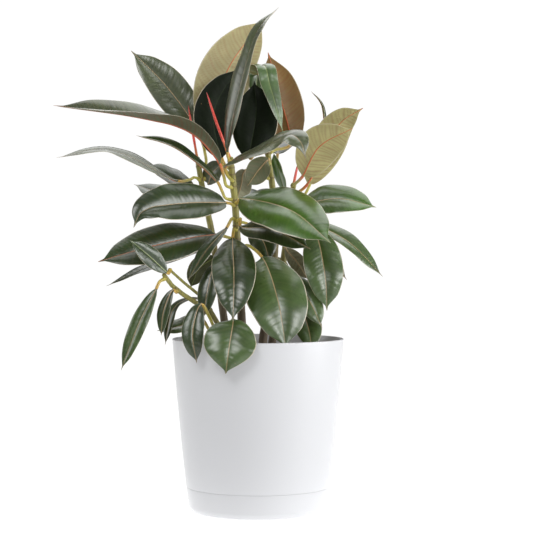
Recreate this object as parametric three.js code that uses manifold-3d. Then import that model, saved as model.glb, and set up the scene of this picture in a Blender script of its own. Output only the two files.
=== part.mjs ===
// Potted rubber plant in a white planter with an attached saucer.
// Millimetres, +Z up. The origin is the centre of the planter's foot, on the surface it stands on.
import * as THREE from "three";
import { mergeVertices } from "three/addons/utils/BufferGeometryUtils.js";
import Module from "manifold-3d";

const wasm = await Module();
wasm.setup();

// ---- Driving dimensions -------------------------------------------------------------------

const RIM_RADIUS = 128.5; // outside of the planter at its mouth
const PLANTER_HEIGHT = 259; // foot to rim
const FOOT_RADIUS = 97; // flat underside of the saucer
const SAUCER_RADIUS = 104.5; // outside of the saucer just above its rounded foot
const WALL_SWELL = 1.6; // how far the tapered wall bows out halfway up
const SAUCER_HEIGHT = 37; // foot to the seam between saucer and shell
const FOOT_ROUND_HEIGHT = 8; // height of the rounding between the foot and the wall
const WALL = 3.2; // moulded wall of shell and saucer
const RIM_LIP = 0.9; // radius worked on the edges of the rim
const FLOOR_LIFT = 14; // water space between the saucer's floor and the shell's floor
const FIT = 0.5; // radial clearance of the shell's spigot inside the saucer
const SEAM_GAP = 0.6; // open line between the saucer's edge and the shell's shoulder
const GAP = 0.3; // clearance between pieces that touch
const SOIL_DROP = 19; // soil surface below the rim
const SOIL_MOUND = 5; // rise of the soil in the middle
const DRAIN_HOLES = 6;
const DRAIN_RADIUS = 5;
const DRAIN_CIRCLE = 58; // radius of the circle that the drain holes stand on
const TURNS = 48; // sides of the round pieces

const BLADE_THICKNESS = 1.1;
const KEEL = 2.2; // how far the midrib stands out under the base of the blade
const PETIOLE_RADIUS = 2.3;
const PETIOLE_CHANNEL = 0.35; // height of the channelled upper side, as a share of the petiole's radius
const PETIOLE_START = 9; // how far a petiole runs straight out of its stem
const LEAF_ROLL = -0.14; // how much the margins bend back down, as a share of the half width
const DRIP_TIP = 0.95; // share of the blade's length where the narrow drip tip begins
const STEM_DEPTH = 45; // how deep the stems stand in the soil

const SOIL_TOP = PLANTER_HEIGHT - SOIL_DROP;

// ---- Solids -------------------------------------------------------------------------------

const point = ([x, y, z]) => new THREE.Vector3(x, y, z);

function solidOf(geometry) {
  const bare = geometry.clone();
  bare.deleteAttribute("normal");
  bare.deleteAttribute("uv");
  const merged = mergeVertices(bare, 1e-3);
  const triVerts = new Uint32Array(merged.index.array);
  const vertProperties = merged.attributes.position.array;
  return new wasm.Manifold(new wasm.Mesh({ numProp: 3, vertProperties, triVerts }));
}

function geometryOf(solid) {
  const { vertProperties, triVerts } = solid.getMesh();
  const geometry = new THREE.BufferGeometry();
  geometry.setAttribute("position", new THREE.BufferAttribute(new Float32Array(vertProperties), 3));
  geometry.setIndex(new THREE.BufferAttribute(new Uint32Array(triVerts), 1));
  geometry.computeVertexNormals();
  return geometry;
}

// A closed body through rings of equally many points, with a point that closes each end.
function loft(rings, startPoint, endPoint) {
  const sides = rings[0].length;
  const positions = [...rings.flat(), startPoint, endPoint].flatMap((p) => p.toArray());
  const start = rings.length * sides;
  const end = start + 1;
  const index = [];
  for (let side = 0; side < sides; side++) {
    const next = (side + 1) % sides;
    index.push(start, next, side);
    for (let k = 0; k + 1 < rings.length; k++) {
      const here = k * sides;
      const there = here + sides;
      index.push(here + side, here + next, there + next, here + side, there + next, there + side);
    }
    const last = (rings.length - 1) * sides;
    index.push(last + side, last + next, end);
  }
  const geometry = new THREE.BufferGeometry();
  geometry.setAttribute("position", new THREE.Float32BufferAttribute(positions, 3));
  geometry.setIndex(index);
  geometry.computeVertexNormals();
  return geometry;
}

// A round body about Z from [radius, height] pairs.
function turned(profile) {
  const outline = profile.map(([radius, height]) => new THREE.Vector2(radius, height));
  return new THREE.LatheGeometry(outline, TURNS).rotateX(Math.PI / 2);
}

// ---- Planter ------------------------------------------------------------------------------

const seamRadius = radiusAt(SAUCER_HEIGHT);
const shellFloor = WALL + FLOOR_LIFT;
const shoulder = SAUCER_HEIGHT + SEAM_GAP; // where the shell's outside steps in to the spigot
const ledge = shoulder + WALL; // the same step on the inside

// Outside radius of the planter, a faintly swelling taper from the saucer's wall to the rim.
function radiusAt(height) {
  const share = (height - FOOT_ROUND_HEIGHT) / (PLANTER_HEIGHT - FOOT_ROUND_HEIGHT);
  return SAUCER_RADIUS + (RIM_RADIUS - SAUCER_RADIUS) * share + WALL_SWELL * Math.sin(Math.PI * share);
}

// Outside radius of the shell's spigot, parallel to the inside of the saucer's wall.
function spigotRadiusAt(height) {
  const share = (height - FOOT_ROUND_HEIGHT) / (SAUCER_HEIGHT - FOOT_ROUND_HEIGHT);
  return SAUCER_RADIUS + (seamRadius - SAUCER_RADIUS) * share - WALL - FIT;
}

function saucerGeometry() {
  const foot = FOOT_ROUND_HEIGHT;
  const bulge = SAUCER_RADIUS - FOOT_RADIUS;
  return turned([
    [0, 0],
    [FOOT_RADIUS, 0],
    [FOOT_RADIUS + bulge * 0.62, foot * 0.3],
    [SAUCER_RADIUS, foot],
    [seamRadius, SAUCER_HEIGHT],
    [seamRadius - WALL, SAUCER_HEIGHT],
    [SAUCER_RADIUS - WALL, foot],
    [FOOT_RADIUS - WALL, WALL],
    [0, WALL],
  ]);
}

function shellGeometry() {
  const heights = [0.3, 0.65].map((share) => ledge + (PLANTER_HEIGHT - ledge) * share);
  const body = solidOf(
    turned([
      [0, shellFloor],
      [spigotRadiusAt(shellFloor) - WALL, shellFloor],
      [spigotRadiusAt(shellFloor + WALL), shellFloor + WALL],
      [spigotRadiusAt(shoulder), shoulder],
      [radiusAt(shoulder), shoulder],
      ...heights.map((height) => [radiusAt(height), height]),
      [RIM_RADIUS, PLANTER_HEIGHT - RIM_LIP],
      [RIM_RADIUS - RIM_LIP, PLANTER_HEIGHT],
      [RIM_RADIUS - WALL + RIM_LIP, PLANTER_HEIGHT],
      [RIM_RADIUS - WALL, PLANTER_HEIGHT - RIM_LIP],
      ...heights.reverse().map((height) => [radiusAt(height) - WALL, height]),
      [radiusAt(ledge) - WALL, ledge],
      [spigotRadiusAt(shoulder) - WALL, ledge],
      [spigotRadiusAt(shellFloor + WALL) - WALL, shellFloor + WALL],
      [0, shellFloor + WALL],
    ]),
  );
  const drill = new THREE.CylinderGeometry(DRAIN_RADIUS, DRAIN_RADIUS, 3 * WALL, 12).rotateX(Math.PI / 2);
  let drilled = body;
  for (let hole = 0; hole < DRAIN_HOLES; hole++) {
    const turn = (2 * Math.PI * hole) / DRAIN_HOLES;
    const place = [DRAIN_CIRCLE * Math.cos(turn), DRAIN_CIRCLE * Math.sin(turn), shellFloor + WALL / 2];
    drilled = drilled.subtract(solidOf(drill.clone().translate(...place)));
  }
  return geometryOf(drilled);
}

function soilGeometry(sockets) {
  const floor = shellFloor + WALL + GAP;
  let soil = solidOf(
    turned([
      [0, floor],
      [spigotRadiusAt(shellFloor + WALL) - WALL - 2 * GAP, floor],
      [spigotRadiusAt(shoulder) - WALL - 2 * GAP, ledge],
      [radiusAt(ledge) - WALL - 2 * GAP, ledge + GAP],
      [radiusAt(SOIL_TOP) - WALL - 2 * GAP, SOIL_TOP],
      [RIM_RADIUS * 0.55, SOIL_TOP + SOIL_MOUND * 0.7],
      [0, SOIL_TOP + SOIL_MOUND],
    ]),
  );
  for (const socket of sockets) soil = soil.subtract(solidOf(socket.translate(0, 0, SOIL_TOP)));
  return geometryOf(soil);
}

// ---- Stems --------------------------------------------------------------------------------
// Points are in millimetres from the middle of the soil's surface.

const STEMS = {
  main: { base: 7, top: 4.6, points: [[-20, -8, -STEM_DEPTH], [-22, -12, 0], [-26, -18, 80],
    [-31, -22, 170], [-35, -25, 235], [-41, -28, 288]] },
  left: { base: 6.5, top: 4, points: [[-42, 30, -STEM_DEPTH], [-46, 32, 0], [-58, 38, 90],
    [-72, 44, 185], [-84, 48, 240], [-93, 52, 292]] },
  right: { base: 6.5, top: 4, points: [[16, 30, -STEM_DEPTH], [20, 30, 0], [30, 32, 70],
    [39, 34, 140], [47, 36, 195], [54, 38, 252]] },
  back: { base: 7, top: 4.2, points: [[4, 62, -STEM_DEPTH], [6, 62, 0], [18, 66, 90],
    [26, 68, 155], [23, 66, 235], [9, 58, 338]] },
  shoot: { base: 4.5, top: 3, points: [[-46, -50, -STEM_DEPTH], [-48, -52, 0], [-56, -58, 34],
    [-68, -63, 62], [-92, -72, 76], [-123, -86, 99], [-136, -98, 117]] },
  twig: { base: 2.4, top: 1.8, points: [[-68, -63, 62], [-80, -63, 80], [-107, -76, 104],
    [-128, -92, 124]] },
};
const STEM_RINGS = 10;
const STEM_SIDES = 8;

const stemCurve = (stem) => new THREE.CatmullRomCurve3(STEMS[stem].points.map(point), false, "centripetal");

const stemRadius = (stem, share) => THREE.MathUtils.lerp(STEMS[stem].base, STEMS[stem].top, share);

// Rings around a curve; width(share) is the radius there.
function tube(curve, width, count, sides = STEM_SIDES) {
  const rings = [];
  const side = new THREE.Vector3(1, 0, 0);
  for (let k = 0; k < count; k++) {
    const share = k / (count - 1);
    const centre = curve.getPointAt(share);
    const along = curve.getTangentAt(share);
    const across = side.clone().addScaledVector(along, -side.dot(along)).normalize();
    const third = along.clone().cross(across);
    const ring = [];
    for (let n = 0; n < sides; n++) {
      const turn = (2 * Math.PI * n) / sides;
      const reach = width(share);
      ring.push(centre.clone().addScaledVector(across, reach * Math.cos(turn))
        .addScaledVector(third, reach * Math.sin(turn)));
    }
    rings.push(ring);
    side.copy(across);
  }
  return rings;
}

function stemGeometry(stem, extra = 0) {
  const curve = stemCurve(stem);
  const rings = tube(curve, (share) => stemRadius(stem, share) + extra, STEM_RINGS);
  const end = curve.getPointAt(1).addScaledVector(curve.getTangentAt(1), stemRadius(stem, 1) / 2);
  const start = curve.getPointAt(0).addScaledVector(curve.getTangentAt(0), -2 * extra);
  return loft(rings, start, end);
}

// The low shoot forks, so the shoot and its twig are one grown piece.
function forkGeometry() {
  return geometryOf(solidOf(stemGeometry("shoot")).add(solidOf(stemGeometry("twig"))));
}

// A pointed red sheath round a growing tip.
function sheathGeometry(points, radius) {
  const curve = new THREE.CatmullRomCurve3(points.map(point), false, "centripetal");
  const swell = (share) => radius * Math.pow(Math.cos((share * Math.PI) / 2), 0.7) * (0.8 + 0.9 * share);
  const rings = tube(curve, (share) => Math.max(swell(share * 0.97), 0.3), 8);
  return loft(rings, curve.getPointAt(0), curve.getPointAt(1).addScaledVector(curve.getTangentAt(1), 1));
}

// ---- Leaves -------------------------------------------------------------------------------
// Each leaf: its stem, where it grows as a share of the stem's length, the blade's path from base to tip,
// its width, which way its upper face looks, how steeply its halves fold up from the midrib, and which
// way the face has turned by the tip.

const OVER_RIM = -RIM_RADIUS; // depth of the rim's front, for the leaves that hang over it
const FOLD = 10;
const LEAVES = {
  leaf_spear: ["main", 0.985, [[-45, -46, 296], [-22, -62, 404], [2, -60, 476], [31, -58, 507]], 62,
    [-9, -4, 2], 16],
  leaf_dark_left: ["main", 0.955, [[-54, -8, 289], [-66, 8, 359], [-30, 22, 428]], 62, [1, -9, -1], 8],
  leaf_tall_back: ["main", 0.925, [[-68, 22, 318], [-50, 45, 418], [10, 60, 507]], 84, [-1, 9, 1], 8],
  leaf_long_left: ["main", 0.87, [[-56, -44, 279], [-98, -60, 324], [-154, -74, 341], [-296, -90, 361]],
    66, [0, 1, 9], 36, [0, -6, 8]],
  leaf_front_right_top: ["main", 0.9, [[-48, -60, 273], [5, -108, 297], [55, -134, 314], [69, -144, 281]], 62,
    [0, -5, 9], 8],
  leaf_curl_left: ["main", 0.815, [[-60, -36, 253], [-122, -66, 302], [-176, -84, 318]], 34, [2, -4, 9], 26],
  leaf_middle_left: ["main", 0.79, [[-47, -50, 221], [-113, -84, 219], [-166, -106, 207], [-178, -112, 184]],
    70, [0, -8, 5], 20],
  leaf_front_right: ["main", 0.8, [[-26, -44, 227], [48, -100, 209], [104, -138, 162]], 94, [2, -9, 7], 3],
  leaf_shaded: ["main", 0.72, [[-26, -34, 187], [21, -66, 182], [77, -84, 153]], 52, [0, -8, 7], 10],
  leaf_low_left: ["main", 0.64, [[-63, -40, 174], [-150, -74, 158], [-230, -104, 135]], 68, [0, -8, 5], 12],
  leaf_narrow_left: ["main", 0.725, [[-46, -58, 184], [-73, -80, 153], [-101, -94, 108]], 30, [-6, -6, 4], 14],
  leaf_front_centre: ["main", 0.68, [[-37, -48, 169], [-34, -112, 112], [-35, -134, 50]], 66, [0, -9, 3], 12],
  leaf_front_big: ["main", 0.6, [[6, -34, 141], [29, -80, 79], [41, -100, 8]], 94, [2, -9, 4], 8],
  leaf_low_dark: ["main", 0.52, [[-62, -66, 130], [-73, -82, 92], [-79, -84, 52]], 32, [-4, -9, 2], 10],
  leaf_shadow: ["main", 0.7, [[-12, 16, 188], [7, 2, 166], [18, -8, 134]], 40, [0, -9, 4], 8],
  leaf_upper_left: ["left", 0.96, [[-89, 62, 325], [-139, 70, 400], [-196, 75, 458]], 62, [-2, -8, 5], 20],
  leaf_thin_left: ["left", 0.9, [[-120, -14, 255], [-221, -24, 300], [-298, -36, 288]], 40, [0, -3, 9], 10],
  leaf_tucked_left: ["left", 0.82, [[-94, 30, 242], [-129, 16, 259], [-166, 4, 279]], 54, [0, -6, 9], 16],
  leaf_back_left: ["left", 0.8, [[-95, 85, 220], [-145, 110, 236], [-196, 126, 254]], 54, [0, -5, 9], 12],
  leaf_sliver_left: ["left", 0.6, [[-87, -2, 151], [-164, -20, 126], [-225, -30, 98]], 40, [0, -2, 9], 10],
  leaf_under_left: ["left", 0.52, [[-66, -4, 139], [-87, -12, 125], [-101, -14, 95]], 34, [-2, 9, 4], 8],
  leaf_pale_left: ["left", 0.9, [[-76, 50, 252], [-70, 44, 268], [-52, 34, 284]], 34, [-2, -9, 3], 8],
  leaf_behind_left: ["left", 0.5, [[-80, 85, 140], [-120, 125, 165], [-165, 150, 150]], 56, [0, 5, 9], 12],
  leaf_olive_right: ["right", 0.99, [[67, -12, 262], [91, -50, 304], [137, -88, 328]], 62, [4, 7, 5], 10],
  leaf_olive_back: ["right", 0.95, [[75, 15, 251], [100, 4, 300], [122, -8, 340], [156, -30, 362]], 54,
    [2, 9, 3], 12],
  leaf_blade_right: ["right", 0.92, [[98, 54, 300], [97, 60, 374], [81, 62, 395]], 34, [9, -1, 2], 16],
  leaf_right: ["right", 0.88, [[63, 4, 219], [120, -10, 228], [176, -22, 215]], 60, [1, -8, 7], 10],
  leaf_far_right: ["right", 0.84, [[73, 22, 197], [137, 16, 163], [188, 10, 111]], 38, [3, -6, 7], 14],
  leaf_hanging_right: ["right", 0.77, [[82, -8, 183], [99, -38, 115], [102, -44, 62]], 60, [1, -9, 3], 8],
  leaf_pale_right: ["right", 0.7, [[42, 10, 154], [59, 4, 133], [76, 0, 106]], 26, [1, 9, 3], 8],
  leaf_low_right: ["right", 0.55, [[51, -14, 114], [77, -40, 75], [94, -52, 38]], 40, [2, -9, 4], 8],
  leaf_soil_right: ["right", 0.42, [[61, -4, 72], [74, -38, 38], [80, -62, 4]], 44, [1, -9, 5], 8],
  leaf_inner_right: ["right", 0.9, [[41, 20, 239], [32, 14, 269], [23, 10, 299]], 30, [-8, -5, 2], 16],
  leaf_dark_right: ["back", 0.93, [[-12, 20, 290], [-3, 28, 360], [-6, 36, 408]], 70, [0, -9, -1], 8],
  leaf_bright_arch: ["back", 0.985, [[-4, 60, 366], [-2, 52, 410], [6, 33, 437], [18, 15, 398],
    [38, 2, 326]], 34, [2, -5, 8], 14],
  leaf_bronze: ["back", 0.9, [[48, 72, 312], [33, 80, 390], [15, 80, 456]], 66, [-1, 9, 2], 8],
  leaf_inner_back: ["back", 0.86, [[15, 26, 288], [0, 18, 271], [-16, 10, 248]], 38, [0, 9, 4], 8],
  leaf_inner_left: ["back", 0.8, [[-20, 42, 272], [-26, 36, 249], [-34, 30, 221]], 34, [-1, 9, 3], 8],
  leaf_rear_low: ["back", 0.45, [[25, 110, 140], [20, 150, 110], [10, 178, 60]], 60, [0, 7, 6], 10],
  leaf_rear_right: ["back", 0.58, [[75, 96, 190], [102, 106, 155], [138, 100, 104]], 48, [4, 5, 8], 10],
  leaf_rear_middle: ["back", 0.7, [[2, 112, 232], [-2, 160, 245], [5, 205, 225]], 62, [0, 2, 9], 10],
  leaf_rear_top: ["back", 0.8, [[30, 100, 300], [34, 150, 335], [26, 190, 360]], 60, [0, -3, 9], 10],
  leaf_glossy_small: ["twig", 0.99, [[-131, -104, 120], [-154, -112, 142], [-182, -122, 166]], 30,
    [0, -9, 5], 16],
  leaf_drooping: ["shoot", 0.97, [[-146, -106, 96], [-169, -112, 49], [-196, -118, -21]], 30, [-4, -8, 3], 14],
  leaf_small_hanging: ["shoot", 0.84, [[-122, -99, 94], [-135, -103, 65], [-139, -106, 28]], 20, [-3, -8, 2], 14],
  leaf_curved_small: ["shoot", 0.55, [[-86, -60, 81], [-120, -66, 70], [-135, -84, 13]], 20, [-2, -3, 8], 14],
  leaf_rim_left: ["shoot", 0.3, [[-85, -44, 51], [-114, -58, 40], [-147, -74, 34]], 36, [0, -6, 9], 10],
  leaf_over_rim_left: ["shoot", 0.4, [[-82, OVER_RIM + 26, 73], [-93, OVER_RIM + 10, 33], [-87, OVER_RIM + 6, -10]],
    33, [-1, -9, 2], 10],
  leaf_over_rim: ["shoot", 0.34, [[-35, -118, 52], [-40, OVER_RIM - 14, 16], [-45, OVER_RIM - 22, -23]], 76,
    [0, -9, 3], 6],
};

// Half width of the blade as a share of its widest, from the base (0) to the tip (1).
function bladeOutline(share) {
  if (share >= DRIP_TIP) return 0.012 + 0.05 * ((1 - share) / (1 - DRIP_TIP));
  const body = Math.sin(Math.PI * Math.pow(share / DRIP_TIP, 0.95));
  return Math.max(Math.pow(Math.max(body, 0), 0.62), 0.062);
}

const PETIOLE_STATIONS = [0, 0.5, 0.75, 1];
const BLADE_STATIONS = [0.02, 0.1, 0.22, 0.34, 0.46, 0.6, 0.75, 0.87, 0.95];

function leafGeometry([stem, share, path, width, face, fold = FOLD, endFace = face]) {
  const curve = stemCurve(stem);
  const onStem = curve.getPointAt(share);
  const up = curve.getTangentAt(share);
  const blade = path.map(point);
  const out = blade[0].clone().sub(onStem);
  out.addScaledVector(up, -out.dot(up)).normalize();
  const root = onStem.clone().addScaledVector(out, stemRadius(stem, share) + GAP);
  const knee = root.clone().addScaledVector(out, PETIOLE_START).addScaledVector(up, PETIOLE_START / 3);
  const midrib = new THREE.CatmullRomCurve3([root, knee, ...blade], false, "centripetal");
  const steep = THREE.MathUtils.degToRad(fold);
  const collar = 2 / (blade.length + 1); // where the petiole ends, as a parameter of the curve
  const lengths = midrib.getLengths(120 * (blade.length + 1));
  const petioleLength = lengths[240];
  const wholeLength = lengths[lengths.length - 1];

  const frameAt = (t, turned) => {
    const along = t === 0 ? out.clone() : midrib.getTangent(t);
    const upper = point(face).normalize().lerp(point(endFace).normalize(), turned);
    const normal = upper.addScaledVector(along, -upper.dot(along)).normalize();
    return { centre: midrib.getPoint(t), normal, side: normal.clone().cross(along) };
  };
  const at = ({ centre, normal, side }, across, height) =>
    centre.clone().addScaledVector(side, across).addScaledVector(normal, height);

  const rings = PETIOLE_STATIONS.map((station) => {
    const frame = frameAt(station * collar, 0);
    const r = PETIOLE_RADIUS;
    const d = r * Math.SQRT1_2;
    const outline = [[r, 0], [d, d], [0, r * PETIOLE_CHANNEL], [-d, d], [-r, 0], [-d, -d], [0, -r], [d, -d]];
    return outline.map(([across, height]) => at(frame, across, height));
  });
  for (const station of BLADE_STATIONS) {
    const reached = THREE.MathUtils.lerp(petioleLength, wholeLength, station);
    const frame = frameAt(midrib.getUtoTmapping(0, reached), station);
    const half = (width / 2) * bladeOutline(station);
    const skin = BLADE_THICKNESS / 2;
    const keel = skin + KEEL * (1 - 0.9 * station);
    const lift = (q) => half * (q * Math.sin(steep) + LEAF_ROLL * q * q);
    const reach = (q) => half * q * Math.cos(steep);
    const outline = [
      [reach(1), lift(1)], [reach(0.5), lift(0.5) + skin], [0, skin], [-reach(0.5), lift(0.5) + skin],
      [-reach(1), lift(1)], [-reach(0.5), lift(0.5) - skin], [0, -keel], [reach(0.5), lift(0.5) - skin],
    ];
    rings.push(outline.map(([across, height]) => at(frame, across, height)));
  }
  return loft(rings, root, blade[blade.length - 1]);
}

// ---- Assembly -----------------------------------------------------------------------------

const plastic = new THREE.MeshStandardMaterial({ color: "#f2f3f5", roughness: 0.25, metalness: 0 });
const earth = new THREE.MeshStandardMaterial({ color: "#4a3b30", roughness: 1, metalness: 0 });
const bark = new THREE.MeshStandardMaterial({ color: "#8b8a4a", roughness: 0.7, metalness: 0 });
const green = new THREE.MeshStandardMaterial({ color: "#2c4228", roughness: 0.35, metalness: 0 });
const red = new THREE.MeshStandardMaterial({ color: "#c8352b", roughness: 0.4, metalness: 0 });

const plantedPot = new THREE.Group();
const plant = new THREE.Group();
plant.position.z = SOIL_TOP;
plantedPot.add(plant);

function addPiece(group, name, geometry, material) {
  const mesh = new THREE.Mesh(geometry, material);
  mesh.name = name;
  group.add(mesh);
}

const rooted = ["main", "left", "right", "back", "shoot"];
addPiece(plantedPot, "saucer", saucerGeometry(), plastic);
addPiece(plantedPot, "planter_shell", shellGeometry(), plastic);
addPiece(plantedPot, "soil", soilGeometry(rooted.map((stem) => stemGeometry(stem, GAP))), earth);

for (const stem of ["main", "left", "right", "back"]) addPiece(plant, "stem_" + stem, stemGeometry(stem), bark);
addPiece(plant, "stem_shoot", forkGeometry(), bark);

const SHEATHS = {
  sheath_main: [[[-44, -29, 294], [-62, -26, 342], [-76, -22, 385]], 3.4],
  sheath_left: [[[-94, 53, 296], [-100, 56, 330], [-107, 60, 372]], 3.2],
  sheath_right: [[[55, 38, 256], [57, 40, 266], [61, 44, 284]], 3],
};
for (const [name, [points, radius]] of Object.entries(SHEATHS))
  addPiece(plant, name, sheathGeometry(points, radius), red);

for (const [name, leaf] of Object.entries(LEAVES)) addPiece(plant, name, leafGeometry(leaf), green);

export default plantedPot;
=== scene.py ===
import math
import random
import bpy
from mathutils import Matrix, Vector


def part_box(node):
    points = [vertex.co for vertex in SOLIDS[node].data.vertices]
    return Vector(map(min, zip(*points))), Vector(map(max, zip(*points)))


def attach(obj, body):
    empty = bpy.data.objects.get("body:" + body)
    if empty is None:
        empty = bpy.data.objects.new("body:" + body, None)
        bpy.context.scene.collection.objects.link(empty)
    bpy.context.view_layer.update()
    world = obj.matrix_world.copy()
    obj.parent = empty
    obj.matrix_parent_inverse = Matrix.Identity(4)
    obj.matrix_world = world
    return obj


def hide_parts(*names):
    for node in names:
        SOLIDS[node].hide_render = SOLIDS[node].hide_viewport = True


bl_info = {
    "name": "Potted Rubber Plant",
    "version": (1, 0, 0),
    "blender": (4, 5, 0),
    "location": "3D View > Sidebar > Rubber Plant",
    "description": "Grows a leafy rubber plant in a white planter around its solid model",
    "category": "Add Mesh",
}

import bmesh
import bpy
import numpy as np
from bpy.props import FloatProperty, FloatVectorProperty, IntProperty, PointerProperty
from bpy.types import Operator, Panel, PropertyGroup
from mathutils import Vector, noise

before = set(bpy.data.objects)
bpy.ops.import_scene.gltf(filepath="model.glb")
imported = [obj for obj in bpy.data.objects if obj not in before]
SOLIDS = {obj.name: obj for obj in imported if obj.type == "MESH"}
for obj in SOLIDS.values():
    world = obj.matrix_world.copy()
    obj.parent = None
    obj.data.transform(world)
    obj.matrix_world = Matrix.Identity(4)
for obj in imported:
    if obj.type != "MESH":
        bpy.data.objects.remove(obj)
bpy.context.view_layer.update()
MM = 0.001
RING = 8  # points in each ring of a grown solid
WELD = 1e-6  # metres within which the frame's points are one
SOIL_FLOOR, SOIL_HEIGHT = (corner.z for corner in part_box("soil"))
SOIL_REACH = (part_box("soil")[1].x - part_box("soil")[0].x) / 2
STEMS = ("stem_main", "stem_left", "stem_right", "stem_back")
LEAVES = sorted(name for name in SOLIDS if name.startswith("leaf_"))
SHEATHS = sorted(name for name in SOLIDS if name.startswith("sheath_"))


# ---- Settings ----


def length(name, description, default):
    return FloatProperty(name=name, description=description, default=default, min=0.0,
                         precision=5, unit="LENGTH")


def share(name, description, default, top=1.0):
    return FloatProperty(name=name, description=description, default=default, min=0.0,
                         max=top, subtype="FACTOR")


def colour(name, description, default):
    return FloatVectorProperty(name=name, description=description, default=default, size=3,
                               min=0.0, max=1.0, subtype="COLOR")


def power(name, description, default):
    return FloatProperty(name=name, description=description, default=default, min=0.0,
                         unit="POWER")


class PlanterSettings(PropertyGroup):
    plastic: colour("Plastic", "Colour of the moulded planter and saucer", (0.53, 0.535, 0.552))
    rim_round: length("Rim rounding", "Radius worked on the edges of the rim", 1.3 * MM)
    seam_round: length("Seam rounding", "Radius on the edges that meet at the seam", 0.3 * MM)
    foot_round: length("Foot rounding", "Radius between the saucer's underside and wall", 6 * MM)
    sides: IntProperty(name="Sides", description="Faces around the planter", default=160, min=32)


class SoilSettings(PropertyGroup):
    dark: colour("Dark soil", "Colour of the damp potting mix", (0.035, 0.022, 0.014))
    bark: colour("Bark chips", "Colour of the bark chips in the mix", (0.11, 0.06, 0.032))
    crumble: length("Crumble", "Height of the soil's lumps", 2.2 * MM)
    chips: IntProperty(name="Chips", description="Number of bark chips", default=420, min=0)


class StemSettings(PropertyGroup):
    young: colour("Young bark", "Colour of the stems near their tips", (0.26, 0.24, 0.05))
    old: colour("Old bark", "Colour of the stems near the soil", (0.15, 0.115, 0.075))
    sheath: colour("Sheath", "Colour of the rolled new leaves", (0.62, 0.045, 0.03))
    slimness: share("Sheath width", "Width of the rolled new leaves, as a share of full", 0.62)
    scar: length("Leaf scar", "How far the ring under each leaf stands out", 0.55 * MM)


class LeafSettings(PropertyGroup):
    thickness: length("Thickness", "Thickness of a leaf's blade", 0.9 * MM)
    vein_spacing: length("Vein spacing", "Distance between side veins", 6.5 * MM)
    vein_depth: length("Vein depth", "How deep the side veins lie in the upper side", 0.19 * MM)
    pillow: share("Pillow", "How far each half of a blade arches, as a share of its width",
                  0.055)
    wave: share("Wave", "Waviness of the margins, as a share of the half width", 0.035)
    margin: colour("Margin", "Colour of the thin rim of each blade", (0.50, 0.44, 0.33))
    petiole: colour("Petiole", "Colour of the leaf stalks", (0.40, 0.36, 0.07))
    petiole_blush: colour("Petiole blush", "Colour where the stalks flush red",
                          (0.62, 0.12, 0.045))


class StageSettings(PropertyGroup):
    floor: colour("Floor", "Colour of the floor", (0.95, 0.95, 0.95))
    ambient: share("Ambient", "Strength of the light from all round", 0.12, 4.0)
    key: power("Key", "Power of the large light on the right", 46.0)
    top: power("Top", "Power of the light overhead", 27.0)
    fill: power("Fill", "Power of the light on the left", 9.0)
    side: power("Side", "Power of the light in front on the right", 1.7)
    front: power("Front", "Power of the high light in front", 3.4)


# ---- Node materials ----


class Finish:
    """A procedural material under construction."""

    def __init__(self, name, **surface):
        self.material = bpy.data.materials.new(name)
        self.material.use_nodes = True
        self.tree = self.material.node_tree
        self.surface = self.tree.nodes["Principled BSDF"]
        for socket, value in surface.items():
            self.surface.inputs[socket.replace("_", " ")].default_value = value

    def node(self, kind, inputs=(), **settings):
        made = self.tree.nodes.new("ShaderNode" + kind)
        for key, value in settings.items():
            setattr(made, key, value)
        for key, value in dict(inputs).items():
            if isinstance(value, bpy.types.NodeSocket):
                self.tree.links.new(value, made.inputs[key])
            else:
                made.inputs[key].default_value = value
        return made

    def math(self, operation, a, b=0.0):
        return self.node("Math", {0: a, 1: b}, operation=operation).outputs[0]

    def band(self, value, low, high, to_low=0.0, to_high=1.0):
        """A value between low and high, eased into the range from to_low to to_high."""
        made = self.node("MapRange", {"Value": value, "From Min": low, "From Max": high,
                                      "To Min": to_low, "To Max": to_high},
                         interpolation_type="SMOOTHSTEP")
        return made.outputs[0]

    def mix(self, factor, a, b):
        a, b = ((*x, 1.0) if isinstance(x, tuple) else x for x in (a, b))
        return self.node("Mix", {0: factor, 6: a, 7: b}, data_type="RGBA").outputs[2]

    def place(self):
        return self.node("TexCoord").outputs["Object"]

    def noise(self, scale, detail=3.0, roughness=0.5, where=None):
        inputs = {"Scale": scale, "Detail": detail, "Roughness": roughness}
        inputs["Vector"] = where or self.place()
        return self.node("TexNoise", inputs).outputs["Fac"]

    def bump(self, height, distance, strength=1.0):
        made = self.node("Bump", {"Height": height, "Distance": distance, "Strength": strength})
        self.link(made.outputs[0], "Normal")

    def link(self, value, socket):
        self.tree.links.new(value, self.surface.inputs[socket])

    def attribute(self, name):
        return self.node("Attribute", attribute_name=name, attribute_type="GEOMETRY")


PERLITE = (0.55, 0.53, 0.48)
LENTICEL = (0.34, 0.29, 0.2)  # the pale specks in the bark
SCAR = (0.115, 0.06, 0.03)
SHEATH_FOOT = (0.5, 0.2, 0.05)
SHEATH_TIP = (0.3, 0.02, 0.025)
SHEATH_STREAK = (0.78, 0.2, 0.14)
FLECK = (0.24, 0.17, 0.07)  # the small brown marks on the leaves


def brighter(tone, factor):
    return tuple(min(1.0, channel * factor) for channel in tone)


def plastic_finish(tone):
    finish = Finish("white_plastic", Roughness=0.28, IOR=1.49, Coat_Weight=0.25,
                    Coat_Roughness=0.12)
    mottle = finish.noise(4.0, 1.0)
    finish.link(finish.mix(mottle, brighter(tone, 0.997), brighter(tone, 1.003)), "Base Color")
    finish.bump(finish.noise(260.0, 1.0), 0.00002, 0.2)
    return finish.material


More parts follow.
